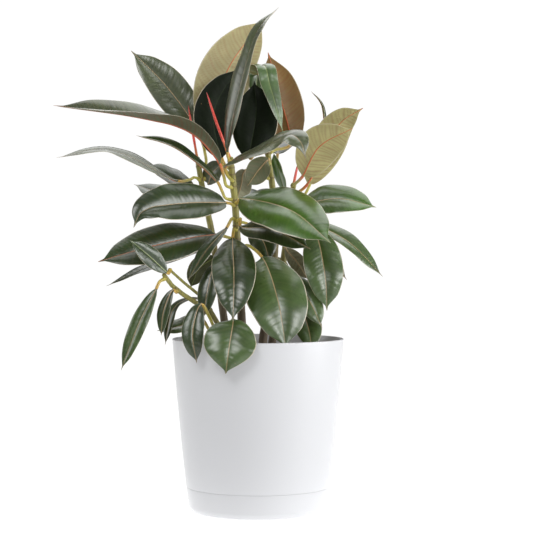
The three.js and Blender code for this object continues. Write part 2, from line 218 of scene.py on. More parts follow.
def soil_finish(name, tone, roughness=0.95):
    finish = Finish(name, Roughness=roughness, Specular_IOR_Level=0.25)
    lumps = finish.noise(240.0, 6.0, 0.65)
    finish.link(finish.mix(finish.band(lumps, 0.35, 0.7), brighter(tone, 0.45),
                           brighter(tone, 1.9)), "Base Color")
    finish.bump(finish.noise(700.0, 4.0, 0.7), 0.0009)
    return finish.material


def bark_finish(young, old):
    """Thin bark: grey-brown and cracked low down, smooth and yellow-green near the tips."""
    finish = Finish("thin_bark", Roughness=0.6)
    axis = finish.node("SeparateXYZ", {0: finish.attribute("growth").outputs["Vector"]})
    rise, scar = axis.outputs[0], axis.outputs[1]
    stretched = finish.node("Mapping", {"Vector": finish.place(),
                                        "Scale": (1.0, 1.0, 0.16)}).outputs[0]
    streaks = finish.noise(420.0, 5.0, 0.6, stretched)
    speckle = finish.noise(900.0, 3.0, 0.6)
    age = finish.band(finish.math("ADD", rise, finish.math("MULTIPLY", speckle, 0.16)), 0.34, 0.9)
    tone = finish.mix(age, old, young)
    tone = finish.mix(finish.band(streaks, 0.42, 0.72, 0.0, 0.55), tone, brighter(old, 0.42))
    tone = finish.mix(finish.band(speckle, 0.66, 0.74, 0.0, 0.6), tone, LENTICEL)
    tone = finish.mix(finish.math("MULTIPLY", scar, 0.75), tone, SCAR)
    finish.link(tone, "Base Color")
    finish.link(finish.band(age, 0.0, 1.0, 0.75, 0.42), "Roughness")
    finish.bump(finish.math("ADD", streaks, finish.math("MULTIPLY", speckle, 0.4)), 0.0007, 0.8)
    return finish.material


def sheath_finish(tone):
    finish = Finish("red_sheath", Roughness=0.3, Coat_Weight=0.3, Coat_Roughness=0.15)
    rise = finish.node("SeparateXYZ", {0: finish.attribute("growth").outputs["Vector"]}).outputs[0]
    flush = finish.mix(finish.band(rise, 0.0, 0.3), SHEATH_FOOT, tone)
    flush = finish.mix(finish.band(rise, 0.75, 1.0, 0.0, 0.8), flush, SHEATH_TIP)
    streak = finish.noise(260.0, 3.0)
    finish.link(finish.mix(finish.band(streak, 0.3, 0.75, 0.0, 0.35), flush, SHEATH_STREAK),
                "Base Color")
    finish.bump(streak, 0.0003, 0.6)
    return finish.material


def blade_marks(finish):
    """The blade's own measures: share of its length, millimetres off the midrib, share of its
    half width, and how near a side vein is."""
    place = finish.node("SeparateXYZ", {0: finish.attribute("blade").outputs["Vector"]})
    across = finish.math("ABSOLUTE", place.outputs[1])
    edge = finish.math("ABSOLUTE", place.outputs[2])
    vein = finish.attribute("vein").outputs["Fac"]
    return place.outputs[0], across, edge, vein


# Roughness, weight of the wax coat and specular level of a leaf's upper side.
WAXED, DULL = (0.32, 0.936, 0.244), (0.5, 0.0, 0.1)


def upper_finish(name, tone, rib, margin, gloss):
    """The dark upper side of a leaf; gloss is WAXED or DULL."""
    roughness, wax, specular = gloss
    finish = Finish(name, Roughness=roughness, IOR=1.5, Coat_Weight=wax,
                    Coat_Roughness=0.28, Coat_IOR=1.65, Specular_IOR_Level=specular)
    along, across, edge, vein = blade_marks(finish)
    cloudy = finish.noise(26.0, 4.0, 0.6)
    tones = finish.mix(finish.band(cloudy, 0.3, 0.72), brighter(tone, 0.72), brighter(tone, 1.35))
    tones = finish.mix(finish.math("MULTIPLY", vein, 0.32), tones,
                       tuple(0.6 * a + 0.12 * b for a, b in zip(brighter(tone, 1.9), rib)))
    fleck = finish.node("TexVoronoi", {"Scale": 95.0, "Vector": finish.place()})
    few = finish.band(fleck.outputs["Distance"], 0.09, 0.045)
    rare = finish.math("GREATER_THAN", finish.node(
        "SeparateColor", {0: fleck.outputs["Color"]}).outputs[0], 0.8)
    tones = finish.mix(finish.math("MULTIPLY", finish.math("MULTIPLY", few, rare), 0.5), tones,
                       FLECK)
    rib_line = finish.band(across, 0.95, 0.35)
    fade = finish.band(along, 1.0, 0.25, 0.45, 0.95)
    tones = finish.mix(finish.math("MULTIPLY", rib_line, fade), tones, rib)
    tones = finish.mix(finish.band(edge, 0.955, 0.99, 0.0, 0.85), tones, margin)
    finish.link(tones, "Base Color")
    finish.link(finish.band(finish.noise(60.0, 4.0), 0.3, 0.7, roughness - 0.05,
                            roughness + 0.08), "Roughness")
    finish.bump(finish.noise(240.0, 2.0), 0.0002, 0.3)
    return finish.material


def under_finish(name, tone, rib, margin):
    """The matt underside of a leaf, with its side veins, hairlines between them and strong
    midrib."""
    finish = Finish(name, Roughness=0.5, IOR=1.42)
    along, across, edge, vein = blade_marks(finish)
    cloudy = finish.noise(30.0, 4.0, 0.6)
    tones = finish.mix(finish.band(cloudy, 0.3, 0.7), brighter(tone, 0.86), brighter(tone, 1.14))
    tones = finish.mix(finish.math("MULTIPLY", vein, 0.7), tones,
                       tuple(0.45 * a + 0.2 * b for a, b in zip(tone, rib)))
    width = finish.band(along, 1.0, 0.0, 0.45, 1.25)
    rib_line = finish.math("SUBTRACT", 1.0, finish.band(
        finish.math("DIVIDE", across, width), 0.65, 1.15))
    tones = finish.mix(finish.math("MULTIPLY", rib_line, 0.92), tones, rib)
    tones = finish.mix(finish.band(edge, 0.95, 0.985, 0.0, 0.8), tones, margin)
    finish.link(tones, "Base Color")
    hair = finish.attribute("hair").outputs["Fac"]
    hairlines = finish.math("SINE", finish.math("MULTIPLY", hair, 2.0 * math.pi))
    grain = finish.noise(420.0, 2.0)
    finish.bump(finish.math("ADD", finish.math("MULTIPLY", hairlines, 0.25), grain), 0.00018, 0.4)
    return finish.material


def petiole_finish(name, tone, blush):
    finish = Finish(name, Roughness=0.36, Coat_Weight=0.15, Coat_Roughness=0.2)
    along = blade_marks(finish)[0]
    streak = finish.noise(300.0, 4.0)
    tones = finish.mix(finish.band(finish.math("ADD", along, finish.math("MULTIPLY", streak, 0.3)),
                                   -0.7, 0.25), tone, blush)
    finish.link(tones, "Base Color")
    finish.bump(streak, 0.0002, 0.5)
    return finish.material


UPPER_TONES = {
    "dark": (0.012, 0.029, 0.003),
    "black": (0.003, 0.006, 0.0015),
    # The next tone is a paler green for the front hanging leaves: partly their own paler tone and
    # partly painted sheen.
    "silver": (0.038, 0.072, 0.015),
    "mid": (0.029, 0.080, 0.001),
    "bright": (0.044, 0.084, 0.022),
    "grey": (0.046, 0.060, 0.024),
}
UNDER_TONES = {
    "olive": (0.40, 0.365, 0.165),
    "tan": (0.30, 0.27, 0.13),
    "bronze": (0.17, 0.10, 0.028),
    "sage": (0.15, 0.17, 0.065),
    "pale": (0.24, 0.24, 0.15),
    # The next tone is the sage underside darkened to about half: painted shade on leaves that sit
    # in the plant's shade.
    "dusk": (0.070, 0.080, 0.030),
    "slate": (0.110, 0.120, 0.070),
}
RIB_TONES = {
    "tan": (0.36, 0.25, 0.13),
    "pink": (0.48, 0.17, 0.09),
    "red": (0.50, 0.11, 0.045),
    "green": (0.20, 0.24, 0.08),
    "dark": (0.014, 0.022, 0.008),
}
# Upper side, underside, midrib above and midrib below, and the leaves that have them.
LEAF_LOOKS = {
    "grey sage tan red": "spear",
    "grey sage tan pink": "front_right_top upper_left",
    "grey slate tan pink": "thin_left",
    "grey slate pink red": "long_left",
    "grey pale tan tan": "pale_left",
    "black sage dark pink": "dark_left dark_right",
    "bright sage green pink": "bright_arch",
    "mid sage tan pink": "front_right right",
    "mid sage green green": "inner_right",
    "silver sage tan pink": "over_rim front_big hanging_right rim_left drooping far_right "
                            "low_right soil_right",
    "dark tan tan red": "tall_back",
    "dark bronze pink red": "bronze",
    "dark olive pink red": "olive_right olive_back",
    "dark sage pink pink": "low_left",
    "dark sage green tan": "glossy_small",
    "dark dusk tan green": "under_left",
    "dark dusk tan tan": "inner_back narrow_left",
    "dark pale tan tan": "inner_left pale_right",
}
LOOK_OF = {"leaf_" + name: look for look, names in LEAF_LOOKS.items() for name in names.split()}
PLAIN_LOOK = "dark sage tan pink"
FLUSHED = ("leaf_long_left", "leaf_olive_right", "leaf_olive_back")  # leaves with a red stalk


# ---- Mesh helpers ----


def placed(name, data):
    made = bpy.data.objects.new(name, data)
    bpy.context.scene.collection.objects.link(made)
    return made


def piece_of(name, points, faces, materials, face_material=None):
    """A smooth mesh object in the frame, with its materials."""
    mesh = bpy.data.meshes.new(name)
    mesh.from_pydata([tuple(p) for p in points], [], faces)
    for material in materials:
        mesh.materials.append(material)
    if face_material is not None:
        mesh.polygons.foreach_set("material_index", np.asarray(face_material, np.int32))
    mesh.polygons.foreach_set("use_smooth", np.ones(len(mesh.polygons), bool))
    mesh.update()
    return placed(name, mesh)


def mark(piece, name, values):
    """Stores one number or one vector per point, which the materials read."""
    values = np.asarray(values, np.float32)
    kind, field = ("FLOAT", "value") if values.ndim == 1 else ("FLOAT_VECTOR", "vector")
    layer = piece.data.attributes.new(name, kind, "POINT")
    layer.data.foreach_set(field, values.ravel())


def hand_over(piece, slot, *nodes):
    """The piece rides on the plant and stands for nodes, which it hides; slot is not used."""
    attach(piece, "root")
    if nodes:
        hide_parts(*nodes)


def turned_faces(rows, sides):
    """Quads between neighbouring rows of sides points each."""
    faces = []
    for row in range(rows - 1):
        here, there = row * sides, (row + 1) * sides
        faces += [(here + k, here + (k + 1) % sides, there + (k + 1) % sides, there + k)
                  for k in range(sides)]
    return faces


def circle(radius, height, sides):
    turns = [2 * math.pi * n / sides for n in range(sides)]
    return [(radius * math.cos(turn), radius * math.sin(turn), height) for turn in turns]


def disc_faces(rings, sides):
    """Faces that look up, over a middle point and the rings around it."""
    fan = [(0, 1 + n, 1 + (n + 1) % sides) for n in range(sides)]
    return fan + [tuple(1 + v for v in reversed(face)) for face in turned_faces(rings, sides)]


def lofted(sections, start, end):
    """Points and faces of a closed skin over sections, with a point at each end."""
    rows, sides, _ = sections.shape
    points = np.vstack([sections.reshape(-1, 3), start, end])
    faces = turned_faces(rows, sides)
    first, last = rows * sides, rows * sides + 1
    faces += [(first, (k + 1) % sides, k) for k in range(sides)]
    tail = (rows - 1) * sides
    faces += [(tail + k, tail + (k + 1) % sides, last) for k in range(sides)]
    return points, faces


def spline(knots, values, at):
    """A smooth curve through values at knots, read at the places at."""
    knots, values, at = np.asarray(knots), np.asarray(values, float), np.asarray(at)
    flat = values.reshape(len(knots), -1)
    gaps = np.diff(knots)
    slopes = np.diff(flat, axis=0) / gaps[:, None]
    tangents = np.empty_like(flat)
    tangents[0], tangents[-1] = slopes[0], slopes[-1]
    weight = (gaps[:-1] / (gaps[:-1] + gaps[1:]))[:, None]
    tangents[1:-1] = slopes[:-1] * (1 - weight) + slopes[1:] * weight
    k = np.clip(np.searchsorted(knots, at, side="right") - 1, 0, len(knots) - 2)
    gap = gaps[k]
    t = ((at - knots[k]) / gap)[:, None]
    gap = gap[:, None]
    read = ((2 * t**3 - 3 * t**2 + 1) * flat[k] + (t**3 - 2 * t**2 + t) * gap * tangents[k]
            + (3 * t**2 - 2 * t**3) * flat[k + 1] + (t**3 - t**2) * gap * tangents[k + 1])
    return read.reshape((len(at),) + values.shape[1:])


def unit(vectors):
    return vectors / np.linalg.norm(vectors, axis=-1, keepdims=True)


def eased(value, low, high):
    t = np.clip((value - low) / (high - low), 0.0, 1.0)
    return t * t * (3 - 2 * t)


def grown_rings(node):
    """The rings of points that a grown solid is lofted through, from root to tip, as
    (root point, rings, tip point)."""
    shape = bmesh.new()
    shape.from_mesh(SOLIDS[node].data)
    bmesh.ops.remove_doubles(shape, verts=shape.verts, dist=WELD)
    poles = [v for v in shape.verts if len(v.link_edges) == RING]
    if len(poles) != 2:
        raise RuntimeError(f"{node} isn't lofted between two end points")
    around = {pole: [e.other_vert(pole) for e in pole.link_edges] for pole in poles}

    def depth(pole):
        centre = sum((v.co for v in around[pole]), Vector()) / RING
        return (centre - pole.co).length

    root, tip = sorted(poles, key=depth)
    layers, seen = [[root]], {root}
    while layers[-1]:
        found = {e.other_vert(v) for v in layers[-1] for e in v.link_edges} - seen
        seen |= found
        layers.append(list(found))
    layers = layers[:-1]
    if any(len(ring) != RING for ring in layers[1:-1]) or layers[-1] != [tip]:
        raise RuntimeError(f"{node} has uneven rings")
    layer_of = {v: k for k, ring in enumerate(layers) for v in ring}
    beside, ahead = {}, {}
    for face in shape.faces:
        corners = list(face.verts)
        deepest = max(layer_of[v] for v in corners)
        if sum(layer_of[v] == deepest for v in corners) != 1:
            continue
        turn = next(k for k, v in enumerate(corners) if layer_of[v] == deepest)
        a, b, c = (corners[(turn + 1 + k) % 3] for k in range(3))
        beside[a], ahead[b] = b, c
    first = min(layers[1], key=lambda v: (v.co - root.co).length)
    ring = [first]
    while len(ring) < RING:
        ring.append(beside[ring[-1]])
    ring = ring[-2:] + ring[:-2]
    rings = []
    for _ in layers[1:-1]:
        rings.append([tuple(v.co) for v in ring])
        if ahead[ring[0]] is not tip:
            ring = [ahead[v] for v in ring]
    ends = np.array(root.co), np.array(tip.co)
    shape.free()
    return ends[0], np.array(rings), ends[1]


def path_lengths(points):
    return np.concatenate([[0.0], np.cumsum(np.linalg.norm(np.diff(points, axis=0), axis=1))])


# ---- Planter ----


SEAM_CLOSING = 0.4 * MM  # the saucer's rim comes up this much nearer the planter's wall
FOOT_ZONE = 9 * MM  # corners of the saucer below this height take the foot's rounding
SEAM_ZONE = 1.5 * MM  # corners within this of the seam take the seam's rounding
SHELL_CUT = math.pi / 6  # an azimuth that passes between the drain holes


def outline_of(node, azimuth):
    """The closed outline of a turned solid as (radius, height) pairs, cut at an azimuth."""
    shape = bmesh.new()
    shape.from_mesh(SOLIDS[node].data)
    bmesh.ops.remove_doubles(shape, verts=shape.verts, dist=WELD)
    side = Vector((math.cos(azimuth), math.sin(azimuth), 0.0))
    normal = Vector((-side.y, side.x, 0.0))
    cut = {v for v in shape.verts if abs(v.co.dot(normal)) < 2e-5 and v.co.dot(side) > -1e-6}
    pairs = {v: (v.co.dot(side), v.co.z) for v in cut}
    links = {v: [e.other_vert(v) for e in v.link_edges if e.other_vert(v) in cut] for v in cut}
    axis = sorted((v for v in cut if pairs[v][0] < 1e-5), key=lambda v: v.co.z)
    chain = [axis[0]]
    while chain[-1] is not axis[-1]:
        onward = [v for v in links[chain[-1]] if v not in chain
                  and not (v in axis and len(chain) == 1)]
        chain.append(onward[0])
    found = [pairs[v] for v in chain]
    shape.free()
    return found


def rounded(outline, radii):
    """An outline with each corner turned into an arc; radii gives each corner's radius."""
    made = [outline[0]]
    for before, corner, after, radius in zip(outline, outline[1:], outline[2:], radii):
        p, c, n = (np.array(x) for x in (before, corner, after))
        back, forth = p - c, n - c
        reach = min(radius, 0.45 * np.linalg.norm(back), 0.45 * np.linalg.norm(forth))
        start, end = c + unit(back) * reach, c + unit(forth) * reach
        bend = float(unit(back) @ unit(forth))
        steps = 1 if bend < -0.9995 else 3 if bend < -0.97 else 7
        for k in range(steps + 1):
            t = k / steps
            made.append(tuple((1 - t) ** 2 * start + 2 * t * (1 - t) * c + t * t * end))
    made.append(outline[-1])
    return made


def turned_piece(name, outline, sides, materials):
    """A body turned round the upright axis from an outline that starts and ends on it."""
    rows = np.array([circle(radius, height, sides) for radius, height in outline[1:-1]])
    points, faces = lofted(rows, (0.0, 0.0, outline[0][1]), (0.0, 0.0, outline[-1][1]))
    return piece_of(name, points, faces, materials)


class PLANT_OT_planter(Operator):
    """Mould the white planter and its saucer"""

    bl_idname = "rubber_plant.planter"
    bl_label = "Planter"

    def execute(self, context):
        planter = context.scene.rubber_planter
        material = plastic_finish(tuple(planter.plastic))
        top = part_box("saucer")[1].z
        for node, azimuth in (("saucer", 0.0), ("planter_shell", SHELL_CUT)):
            outline = outline_of(node, azimuth)
            if node == "saucer":
                outline = [(r, z + SEAM_CLOSING * (z > 0.9 * top)) for r, z in outline]
            radii = []
            for _, height in outline[1:-1]:
                at_foot = node == "saucer" and height < FOOT_ZONE
                at_seam = abs(height - top) < SEAM_ZONE
                radii.append(planter.foot_round if at_foot else
                             planter.seam_round if at_seam else planter.rim_round)
            piece = turned_piece(node + "_moulding", rounded(outline, radii), planter.sides,
                                 [material])
            hand_over(piece, "planter", node)
        return {"FINISHED"}


# ---- Soil ----

MOUND = 5 * MM  # how much higher the soil is in the middle
WALL_CLEARANCE = 6 * MM  # the crumbs stay this far from the planter's wall
# Ranges of length, width and thickness.
CHIP_SIZES = ((2 * MM, 6 * MM), (1.2 * MM, 3 * MM), (0.8 * MM, 1.8 * MM))
CRUMB_SIZES = ((0.8 * MM, 2.4 * MM), (0.8 * MM, 2.2 * MM), (0.7 * MM, 1.6 * MM))
PERLITE_SIZES = ((0.9 * MM, 1.9 * MM), (0.9 * MM, 1.7 * MM), (0.8 * MM, 1.5 * MM))


def soil_lump(x, y, crumble):
    where = Vector((x, y, 0.0))
    coarse = noise.noise(where * 60.0)
    fine = noise.noise(where * 190.0 + Vector((7.0, 0.0, 0.0)))
    return crumble * (0.55 * coarse + 0.45 * fine)


def chunk(centre, size, rng):
    """Points and faces of one angular crumb."""
    turn = rng.uniform(0, 2 * math.pi)
    lean = rng.uniform(-0.6, 0.6)
    points = []
    for ring, (spread, lift) in enumerate(((0.55, -0.5), (1.0, -0.1), (0.8, 0.45))):
        for k in range(6):
            angle = turn + k * math.pi / 3 + ring * 0.3
            reach = spread * rng.uniform(0.75, 1.2)
            x = size[0] * reach * math.cos(angle)
            y = size[1] * reach * math.sin(angle)
            points.append((centre[0] + x, centre[1] + y,
                           centre[2] + size[2] * lift + lean * x * 0.5))
    faces = turned_faces(3, 6)
    faces += [(5, 4, 3, 2, 1, 0), (12, 13, 14, 15, 16, 17)]
    return points, faces


def scattered(name, count, sizes, material, seed, crumble):
    """Crumbs strewn over the soil, clear of the planter's wall, as one mesh."""
    rng = random.Random(seed)
    points, faces = [], []
    for _ in range(count):
        radius = (SOIL_REACH - WALL_CLEARANCE) * math.sqrt(rng.random())
        angle = rng.uniform(0, 2 * math.pi)
        x, y = radius * math.cos(angle), radius * math.sin(angle)
        size = [rng.uniform(low, high) for low, high in sizes]
        height = soil_surface(radius) + soil_lump(x, y, crumble) + 0.2 * size[2]
        made, shell = chunk((x, y, height), size, rng)
        faces += [tuple(len(points) + k for k in face) for face in shell]
        points += made
    piece = piece_of(name, points, faces, [material])
    piece.data.polygons.foreach_set("use_smooth", np.zeros(len(faces), bool))
    hand_over(piece, "soil")


def soil_surface(radius):
    """Height of the soil's smooth mound."""
    low = SOIL_HEIGHT - MOUND
    return low + (SOIL_HEIGHT - low) * (1 - (radius / SOIL_REACH) ** 2)


class PLANT_OT_soil(Operator):
    """Fill the planter with potting mix, bark chips and perlite"""

    bl_idname = "rubber_plant.soil"
    bl_label = "Soil"

    def execute(self, context):
        soil = context.scene.rubber_soil
        reach, rings, sides = SOIL_REACH - 0.4 * MM, 46, 150
        points = [(0.0, 0.0, soil_surface(0.0))]
        for k in range(1, rings + 1):
            radius = reach * k / rings
            ease = 1 - eased(radius / reach, 0.96, 1.0)
            points += [(x, y, soil_surface(radius) + soil_lump(x, y, soil.crumble) * ease)
                       for x, y, _ in circle(radius, 0.0, sides)]
        for narrow, height in ((1.0, SOIL_HEIGHT - 12 * MM), (0.86, SOIL_FLOOR + 20 * MM),
                               (0.78, SOIL_FLOOR)):
            points += circle(reach * narrow, height, sides)
        faces = disc_faces(rings + 3, sides)
        tail = 1 + (rings + 2) * sides
        faces.append(tuple(tail + n for n in reversed(range(sides))))
        damp = soil_finish("damp_soil", tuple(soil.dark))
        bark = soil_finish("bark_chip", tuple(soil.bark))
        white = soil_finish("perlite_grain", PERLITE, 0.8)
        hand_over(piece_of("potting_mix", points, faces, [damp]), "soil", "soil")
        scattered("bark_chips", soil.chips, CHIP_SIZES, bark, 11, soil.crumble)
        scattered("soil_crumbs", soil.chips * 2, CRUMB_SIZES, damp, 23, soil.crumble)
        scattered("perlite", soil.chips // 6, PERLITE_SIZES, white, 5, soil.crumble)
        return {"FINISHED"}


# ---- Stems and sheaths ----

SHEATH_SINK = 7 * MM  # how far a sheath's foot runs down into its stem
CROWN = 3.5 * MM  # length of the rounded tip of a stem or sheath
# Shares of the crown, from its start to the tip, at which it has a ring.
CROWN_STEPS = np.array([1.0, 0.8, 0.6, 0.42, 0.28, 0.16, 0.08, 0.03])
SCAR_REACH = 2.5 * MM  # a leaf this near to a stem's bark leaves a scar on it
SCAR_WIDTH = 1.3 * MM
SHOOT_DETAIL = 0.55 * MM
SHOOT_SMOOTHING = 14


def leaf_roots():
    """Where each leaf stalk meets its stem."""
    return [Vector(grown_rings(node)[0]) for node in LEAVES]


def grown_piece(node, ending, slot, material, around, step, swelling=None, width=1.0, sink=0.0):
    """A round, fine skin over a stem's or sheath's rings. swelling is the places and height of
    leaf scars, width a share of the full width away from the foot."""
    root, rings, tip = grown_rings(node)
    centres = rings.mean(axis=1)
    radii = np.linalg.norm(rings - centres[:, None], axis=2).mean(axis=1)
    first = unit(rings[:, 0] - centres)
    knots = path_lengths(np.vstack([centres, tip]))
    rows = max(12, int(knots[-1] / step))
    even = knots[-1] * (np.arange(rows) + 0.5) / rows
    close = knots[-1] - CROWN * CROWN_STEPS
    places = np.concatenate([even[even < close[0] - 0.3 * MM], close])
    rows = len(places)
    middle = spline(knots, np.vstack([centres, tip]), places)
    along = unit(np.gradient(middle, axis=0))
    reach = np.interp(places, knots, np.append(radii, radii[-1] * (1.0 if swelling else 0.25)))
    if swelling:
        reach = reach * np.sqrt(1 - np.clip((places - close[0]) / CROWN, 0.0, 0.995) ** 2)
    side = spline(knots[:-1], first, np.minimum(places, knots[-2]))
    side = unit(side - along * np.sum(side * along, axis=1, keepdims=True))
    third = np.cross(along, side)
    angles = 2 * np.pi * np.arange(around) / around
    ring = side[:, None] * np.cos(angles)[:, None] + third[:, None] * np.sin(angles)[:, None]
    scar = np.zeros(rows)
    slim = width + (1 - width) * np.exp(-places / (5 * MM))
    size = np.repeat((reach * slim)[:, None], around, axis=1)
    lowered = sink * np.exp(-places / (7 * MM))[:, None] * along[0]
    middle, root = middle - lowered, root - sink * along[0]
    if swelling:
        scars, height = swelling
        for centre in scars:
            gap = np.linalg.norm(middle - np.array(centre), axis=1)
            if gap.min() < reach[gap.argmin()] + SCAR_REACH:
                offset = (places - places[gap.argmin()]) / SCAR_WIDTH
                scar = np.maximum(scar, np.exp(-offset**2))
        size += height * scar[:, None]
    for k in range(rows):
        for n in range(around):
            spot = Vector(middle[k] + ring[k, n] * reach[k])
            rough = 0.04 * noise.noise(spot * 150.0) + 0.03 * noise.noise(
                Vector((spot.x * 500, spot.y * 500, spot.z * 90)))
            size[k, n] *= 1 + rough
    sections = middle[:, None] + ring * size[:, :, None]
    rise = np.repeat(places / knots[-1], around)
    growth = np.stack([rise, np.repeat(scar, around), np.zeros(rows * around)], axis=1)
    piece = piece_of(node + ending, *lofted(sections, root, tip), [material])
    mark(piece, "growth", np.vstack([growth, [0, 0, 0], [1, 0, 0]]))
    hand_over(piece, slot, node)


class PLANT_OT_stems(Operator):
    """Grow the upright stems and the low forked shoot, with a scar under each leaf"""

    bl_idname = "rubber_plant.stems"
    bl_label = "Stems"

    def execute(self, context):
        stem = context.scene.rubber_stem
        bark = bark_finish(tuple(stem.young), tuple(stem.old))
        roots = leaf_roots()
        for node in STEMS:
            grown_piece(node, "_bark", "stem", bark, 20, 2.0 * MM, (roots, stem.scar))
        self.fork(bark, roots, stem.scar)
        return {"FINISHED"}

    def fork(self, bark, roots, scar):
        """The forked shoot is remeshed finely, so that its branch grows out of it."""
        copy = placed("shoot_work", SOLIDS["stem_shoot"].data.copy())
        weld = copy.modifiers.new("weld", "WELD")
        weld.merge_threshold = WELD
        remesh = copy.modifiers.new("remesh", "REMESH")
        remesh.mode, remesh.voxel_size = "VOXEL", SHOOT_DETAIL
        smooth = copy.modifiers.new("smooth", "SMOOTH")
        smooth.factor, smooth.iterations = 0.5, SHOOT_SMOOTHING
        bpy.context.view_layer.update()
        depsgraph = bpy.context.evaluated_depsgraph_get()
        mesh = bpy.data.meshes.new_from_object(copy.evaluated_get(depsgraph))
        bpy.data.objects.remove(copy)
        normals = [v.normal.copy() for v in mesh.vertices]
        low, top = (corner.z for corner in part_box("stem_shoot"))
        growth = []
        for vertex, normal in zip(mesh.vertices, normals):
            near = min((vertex.co - root).length for root in roots)
            ring = math.exp(-((near / (3.4 * MM)) ** 2))
            rough = 0.16 * noise.noise(vertex.co * 260.0) + 0.1 * noise.noise(vertex.co * 700.0)
            vertex.co += normal * (0.3 * MM + rough * MM + scar * 0.6 * ring)
            growth.append((0.35 + 0.5 * (vertex.co.z - low) / (top - low), ring, 0.0))
        mesh.name = "stem_shoot_bark"
        mesh.materials.clear()
        mesh.materials.append(bark)
        mesh.polygons.foreach_set("use_smooth", np.ones(len(mesh.polygons), bool))
        piece = placed("stem_shoot_bark", mesh)
        mark(piece, "growth", growth)
        hand_over(piece, "stem", "stem_shoot")


class PLANT_OT_sheaths(Operator):
    """Roll the red sheaths around the growing tips"""

    bl_idname = "rubber_plant.sheaths"
    bl_label = "Sheaths"

    def execute(self, context):
        stem = context.scene.rubber_stem
        red = sheath_finish(tuple(stem.sheath))
        for node in SHEATHS:
            grown_piece(node, "_roll", "sheath", red, 16, 1.2 * MM, None, stem.slimness,
                        SHEATH_SINK)
        return {"FINISHED"}


# ---- Leaves ----

PETIOLE_RINGS = 4  # rings of a leaf's solid that belong to its stalk
DRIP = 0.95  # share of the blade's length at which its drip tip starts
TAPER_START = {"leaf_over_rim": 0.4, "leaf_bronze": 0.7}  # where a blade starts to narrow
PLAIN_TAPER = 0.8
STALK_STEP = 2.2 * MM
BLADE_STEP, FEWEST_ROWS, MOST_ROWS = 1.35 * MM, 46, 150
VEIN_SLANT = 0.42  # how far forward a side vein runs for each step outward
VEIN_HOOK = 0.16  # how much further forward it ends at the margin, as a share of half width
VEIN_WIDTH = 0.17  # as a share of the spacing
FULL_WIDTH = 30 * MM  # half width of a blade whose veins are at their full depth
FOOT_SINK, FOOT_TIP = 2.6 * MM, 2.8 * MM  # how deep a stalk's foot sits in its stem
# Shares of the half width, from the midrib out, at which a blade has a column of points.
HALF_COLUMNS = np.array([0.0, 0.018, 0.04, 0.07, 0.11, 0.17, 0.24, 0.32, 0.40, 0.48, 0.56, 0.64,
                         0.72, 0.79, 0.86, 0.92, 0.96, 0.985, 1.0])


def blade_outline(s, taper):
    """Half width of the blade along its length, as a share of its widest."""
    body = np.sin(np.pi * np.clip(s / DRIP, 0.0, 1.0) ** 0.95)
    body = np.clip(body, 0.0, 1.0) ** (0.6 + 0.32 * eased(s, taper, 1.0))
    drip = 0.075 * np.clip((1 - s) / (1.4 - 1.4 * DRIP), 0.0, 1.0) ** 1.1 + 0.012
    return (body**2 + drip**2) ** 0.5


def vein_zone(size, inside):
    """1 over the open blade, easing to 0 at the midrib, the margin and both ends."""
    return (eased(size, 0.02, 0.12) * eased(1 - size, 0.02, 0.18)
            * eased(inside, 0.01, 0.08) * eased(1 - inside, 0.06, 0.2))


def measured_leaf(node):
    """Centre line, frames and section of a leaf, read from its solid's rings."""
    root, rings, tip = grown_rings(node)
    side = unit(rings[:, 0] - rings[:, 4])
    normal = unit(rings[:, 1] + rings[:, 3] - rings[:, 5] - rings[:, 7])
    centres = (rings[:, 0] + rings[:, 4]) / 2
    blade = rings[PETIOLE_RINGS:]
    skin = np.linalg.norm(blade[:, 1] - blade[:, 7], axis=1, keepdims=True) / 2
    centres[PETIOLE_RINGS:] = blade[:, 2] - normal[PETIOLE_RINGS:] * skin
    line = np.vstack([centres, tip])
    knots = path_lengths(line)
    collar = knots[PETIOLE_RINGS - 1]
    stations = (knots[PETIOLE_RINGS:-1] - collar) / (knots[-1] - collar)
    edge = blade[:, 0] - centres[PETIOLE_RINGS:]
    middle = (blade[:, 1] + blade[:, 7]) / 2 - centres[PETIOLE_RINGS:]
    up, out = normal[PETIOLE_RINGS:], side[PETIOLE_RINGS:]
    edge_x, edge_y = np.sum(edge * out, axis=1), np.sum(edge * up, axis=1)
    middle_y = np.sum(middle * up, axis=1)
    wide = slice(2, 6)  # the rings where the blade is broad enough to measure
    slope = float(np.median(((4 * middle_y - edge_y) / edge_x)[wide]))
    steep = math.atan(slope)
    spread = edge_x / math.cos(steep)
    roll = float(np.median(((2 * edge_y - 4 * middle_y) / spread)[wide]))
    taper = TAPER_START.get(node, PLAIN_TAPER)
    half = float(np.mean((spread / blade_outline(stations, taper))[wide]))
    petiole = float(np.linalg.norm(rings[0, 0] - rings[0, 4]) / 2)
    return {"root": root, "line": line, "knots": knots, "collar": collar, "side": side,
            "normal": normal, "steep": steep, "roll": roll, "half": half, "petiole": petiole,
            "taper": taper, "outward": unit(centres[1] - centres[0])}


def leaf_rows(leaf):
    """Places along a leaf's centre line: close together where its shape changes quickly."""
    whole, collar = leaf["knots"][-1], leaf["collar"]
    stalk = np.linspace(0.0, collar, max(8, int(collar / STALK_STEP)), endpoint=False)
    blade = whole - collar
    count = int(np.clip(blade / BLADE_STEP, FEWEST_ROWS, MOST_ROWS))
    even = np.linspace(0.0, 1.0, count + 1)[:-1]
    base = np.array([0.0015, 0.003, 0.005, 0.008, 0.012, 0.017, 0.024])
    drip = np.array([0.925, 0.935, 0.945, 0.955, 0.965, 0.975, 0.985, 0.993, 0.997])
    shares = np.unique(np.round(np.concatenate([even, base, drip]), 5))
    keep = np.concatenate([[True], np.diff(shares) > 0.0006])
    return np.concatenate([stalk, collar + shares[keep] * blade])


